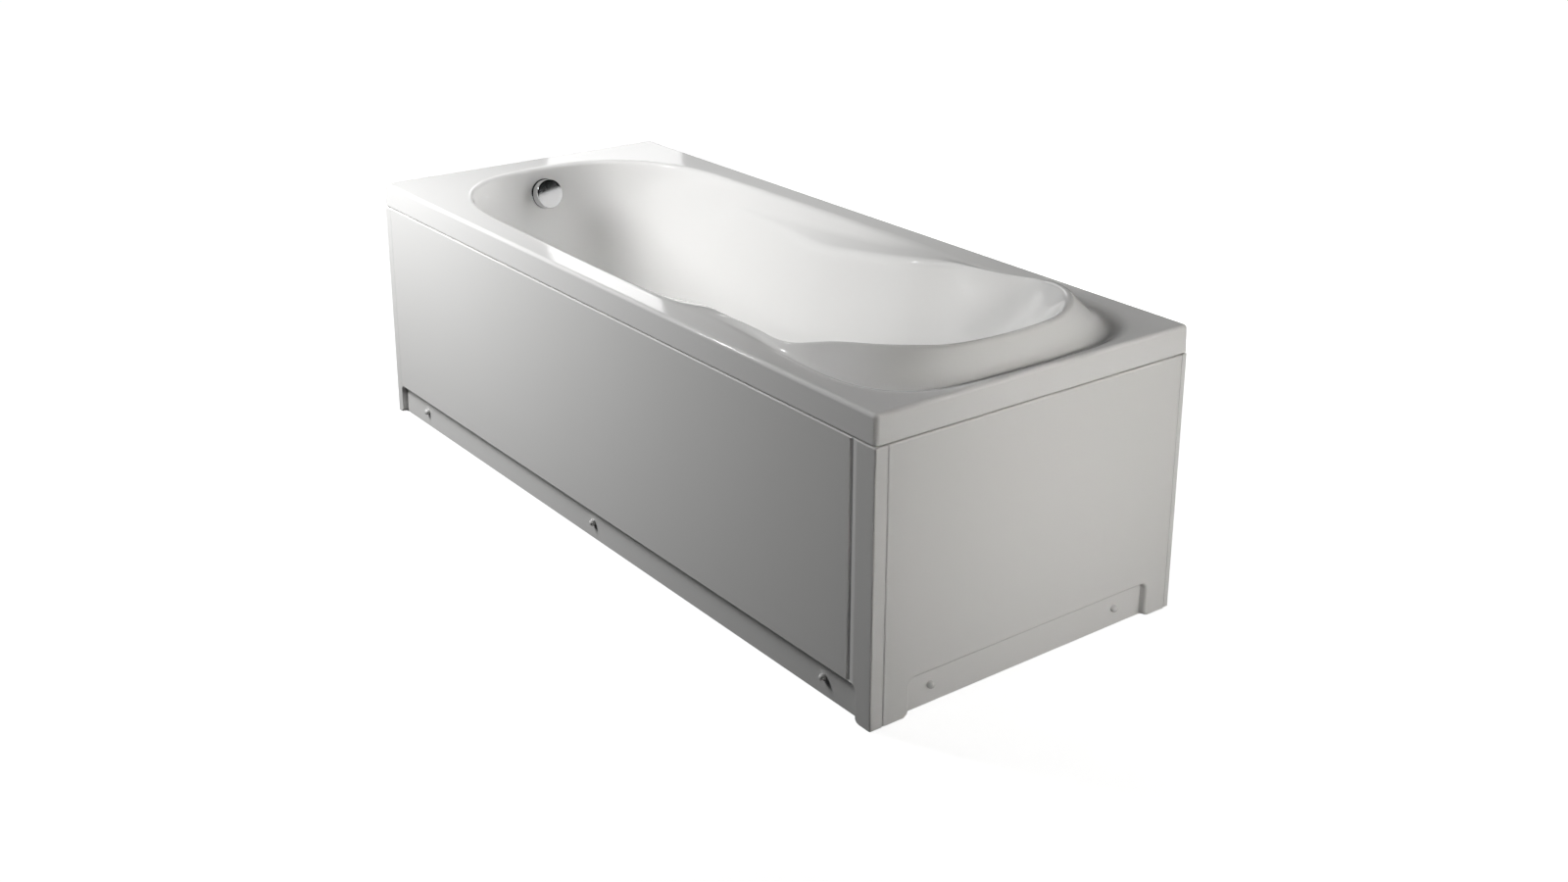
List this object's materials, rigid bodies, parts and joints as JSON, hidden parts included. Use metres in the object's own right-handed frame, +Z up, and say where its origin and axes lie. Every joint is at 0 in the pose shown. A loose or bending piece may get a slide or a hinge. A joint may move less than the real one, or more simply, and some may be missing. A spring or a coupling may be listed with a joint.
{
  "type": "panelled bathtub",
  "caption": "Rectangular acrylic bathtub with rolled head rest, removable front and end panels, pop-up waste with turning overflow knob, and a levelling steel frame.",
  "frame": {"origin": "floor level, under the middle of the bath's plan", "axes": "+X along the length towards the head rest, +Y towards the wall side, away from the long panel, +Z up"},
  "size_m": [1.7, 0.7, 0.581],
  "materials": {
    "acrylic": "high gloss sanitary acrylic",
    "panel_acrylic": "satin formed acrylic sheet",
    "screw_plastic": "moulded, gloss",
    "chrome": "polished chrome plating",
    "zinc": "bright zinc plated",
    "frame_steel": "galvanised",
    "board": "sealed chipboard",
    "black_plastic": "moulded, fine matt",
    "white_plastic": "moulded polypropylene",
    "hose_plastic": "ribbed flexible hose",
    "rubber": "moulded"
  },
  "bodies": {
    "tub": {"bath_shell": "acrylic", "base_board": "board", "frame_rail_front": "frame_steel", "frame_rail_rear": "frame_steel", "cross_rail_drain": "frame_steel", "cross_rail_middle": "frame_steel", "cross_rail_head": "frame_steel", "rail_end_caps": "black_plastic", "frame_bolts": "zinc", "frame_nuts": "zinc", "foot_weld_nuts": "zinc", "foot_lock_nuts": "zinc", "panel_rail_front": "frame_steel", "panel_rail_end": "frame_steel", "rail_screws": "zinc", "panel_clips": "black_plastic", "clip_screws": "zinc", "rear_corner_post": "panel_acrylic", "wall_brackets": "zinc", "overflow_ring": "chrome", "overflow_gasket": "rubber", "overflow_elbow": "white_plastic", "overflow_hose": "hose_plastic", "pull_cable": "black_plastic", "cable_ferrules": "zinc", "waste_flange": "chrome", "waste_gasket": "rubber", "waste_body": "white_plastic", "trap_body": "white_plastic", "trap_nut": "white_plastic", "trap_outlet": "white_plastic", "outlet_nut": "white_plastic"},
    "front_panel": {"front_panel": "panel_acrylic"},
    "end_panel": {"end_panel": "panel_acrylic"},
    "front_screw_left": {"front_screw_left": "screw_plastic"},
    "front_screw_middle": {"front_screw_middle": "screw_plastic"},
    "front_screw_right": {"front_screw_right": "screw_plastic"},
    "end_screw_front": {"end_screw_front": "screw_plastic"},
    "end_screw_rear": {"end_screw_rear": "screw_plastic"},
    "foot_drain_front": {"foot_spindle_drain_front": "zinc", "foot_pad_drain_front": "black_plastic"},
    "foot_drain_rear": {"foot_spindle_drain_rear": "zinc", "foot_pad_drain_rear": "black_plastic"},
    "foot_middle": {"foot_spindle_middle": "zinc", "foot_pad_middle": "black_plastic"},
    "foot_head_front": {"foot_spindle_head_front": "zinc", "foot_pad_head_front": "black_plastic"},
    "foot_head_rear": {"foot_spindle_head_rear": "zinc", "foot_pad_head_rear": "black_plastic"},
    "overflow_knob": {"overflow_knob": "chrome", "knob_spindle": "zinc"},
    "waste_plug": {"waste_plug": "chrome", "plug_stem": "zinc"}
  },
  "joints": [
    {"name": "front_panel_swing", "type": "hinge", "parent": "tub", "child": "front_panel", "pos_m": [0, -0.35, 0.4875], "axis": [-1, 0, 0], "range_deg": [0, 20]},
    {"name": "end_panel_swing", "type": "hinge", "parent": "tub", "child": "end_panel", "pos_m": [0.85, 0, 0.4875], "axis": [0, -1, 0], "range_deg": [0, 20]},
    {"name": "front_screw_left_turn", "type": "hinge", "parent": "front_panel", "child": "front_screw_left", "pos_m": [-0.718, -0.34, 0.036], "axis": [0, -1, 0], "continuous": true},
    {"name": "front_screw_middle_turn", "type": "hinge", "parent": "front_panel", "child": "front_screw_middle", "pos_m": [-0.005, -0.34, 0.036], "axis": [0, -1, 0], "continuous": true},
    {"name": "front_screw_right_turn", "type": "hinge", "parent": "front_panel", "child": "front_screw_right", "pos_m": [0.718, -0.34, 0.036], "axis": [0, -1, 0], "continuous": true},
    {"name": "end_screw_front_turn", "type": "hinge", "parent": "end_panel", "child": "end_screw_front", "pos_m": [0.84, -0.215, 0.036], "axis": [1, 0, 0], "continuous": true},
    {"name": "end_screw_rear_turn", "type": "hinge", "parent": "end_panel", "child": "end_screw_rear", "pos_m": [0.84, 0.215, 0.036], "axis": [1, 0, 0], "continuous": true},
    {"name": "foot_drain_front_height", "type": "slide", "parent": "tub", "child": "foot_drain_front", "axis": [0, 0, 1], "range_m": [0, 0.015]},
    {"name": "foot_drain_rear_height", "type": "slide", "parent": "tub", "child": "foot_drain_rear", "axis": [0, 0, 1], "range_m": [0, 0.015]},
    {"name": "foot_middle_height", "type": "slide", "parent": "tub", "child": "foot_middle", "axis": [0, 0, 1], "range_m": [0, 0.015]},
    {"name": "foot_head_front_height", "type": "slide", "parent": "tub", "child": "foot_head_front", "axis": [0, 0, 1], "range_m": [0, 0.015]},
    {"name": "foot_head_rear_height", "type": "slide", "parent": "tub", "child": "foot_head_rear", "axis": [0, 0, 1], "range_m": [0, 0.015]},
    {"name": "overflow_knob_turn", "type": "hinge", "parent": "tub", "child": "overflow_knob", "pos_m": [-0.75855, 0, 0.48], "axis": [0.9823, 0, 0.1875], "range_deg": [0, 90]},
    {"name": "plug_lift", "type": "slide", "parent": "tub", "child": "waste_plug", "axis": [0, 0, 1], "range_m": [0, 0.0121]}
  ],
  "couplings": [
    {"joint": "plug_lift", "follows": "overflow_knob_turn", "m_per_rad": 0.0076394}
  ]
}
